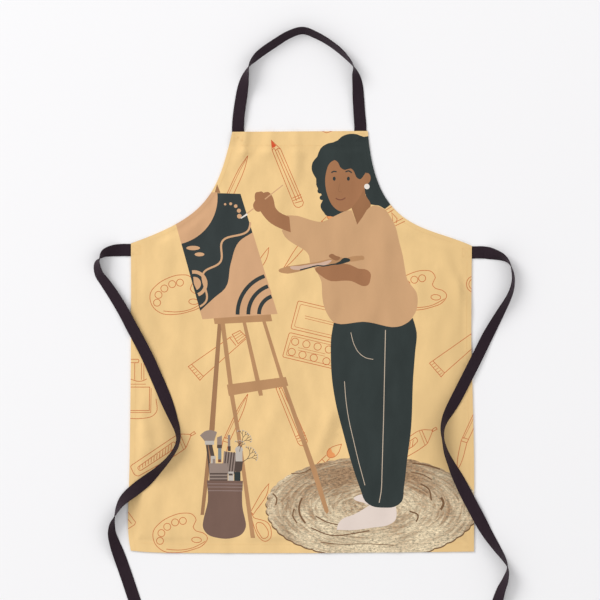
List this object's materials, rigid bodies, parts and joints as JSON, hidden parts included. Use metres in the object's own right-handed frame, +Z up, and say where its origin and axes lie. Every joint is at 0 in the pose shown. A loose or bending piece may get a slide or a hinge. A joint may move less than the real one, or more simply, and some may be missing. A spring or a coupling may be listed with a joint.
{
  "type": "artist bib apron",
  "caption": "Bib apron of printed sand-yellow canvas with hemmed edges, a webbing neck loop and two long webbing waist ties, lying flat.",
  "frame": {"origin": "on the surface the apron lies on, under the middle of the panel and neck loop together, without the free ties", "axes": "+X to the right as the printed front is read, +Y from the bottom hem to the neck loop, +Z up out of the printed front"},
  "size_m": [0.8638, 1.3266, 0.0285],
  "materials": {
    "printed_canvas": "printed woven cotton canvas, matt",
    "thread": "polyester sewing thread",
    "webbing": "twill-woven cotton webbing, aubergine black",
    "dark_thread": "polyester sewing thread",
    "label_tape": "white satin tape, blank"
  },
  "bodies": {
    "apron": {"front_panel": "printed_canvas", "bib_top_hem": "printed_canvas", "left_armhole_hem": "printed_canvas", "right_armhole_hem": "printed_canvas", "left_side_hem": "printed_canvas", "right_side_hem": "printed_canvas", "bottom_hem": "printed_canvas", "bib_top_stitching": "thread", "left_armhole_stitching": "thread", "right_armhole_stitching": "thread", "left_side_stitching": "thread", "right_side_stitching": "thread", "bottom_stitching": "thread", "neck_strap_left_end": "webbing", "neck_strap_right_end": "webbing", "neck_strap_left_stitching": "thread", "neck_strap_right_stitching": "thread", "left_tie_sewn_end": "webbing", "left_tie_stitching": "thread", "right_tie_sewn_end": "webbing", "right_tie_stitching": "thread", "care_label": "label_tape", "care_label_stitching": "thread"},
    "neck_loop": {"neck_strap": "webbing"},
    "left_waist_tie": {"left_tie": "webbing", "left_tie_end_fold": "webbing", "left_tie_end_stitching": "dark_thread"},
    "right_waist_tie": {"right_tie": "webbing", "right_tie_end_fold": "webbing", "right_tie_end_stitching": "dark_thread"}
  },
  "joints": [
    {"name": "neck_loop_fold", "type": "hinge", "parent": "apron", "child": "neck_loop", "pos_m": [0, 0.3272, 0.003], "axis": [1, 0, 0], "range_deg": [0, 160]},
    {"name": "left_tie_swing", "type": "hinge", "parent": "apron", "child": "left_waist_tie", "pos_m": [-0.3494, 0.096, 0.003], "axis": [-1, 0, 0], "range_deg": [0, 120]},
    {"name": "right_tie_swing", "type": "hinge", "parent": "apron", "child": "right_waist_tie", "pos_m": [0.3509, 0.091, 0.003], "axis": [-1, 0, 0], "range_deg": [0, 120]}
  ]
}
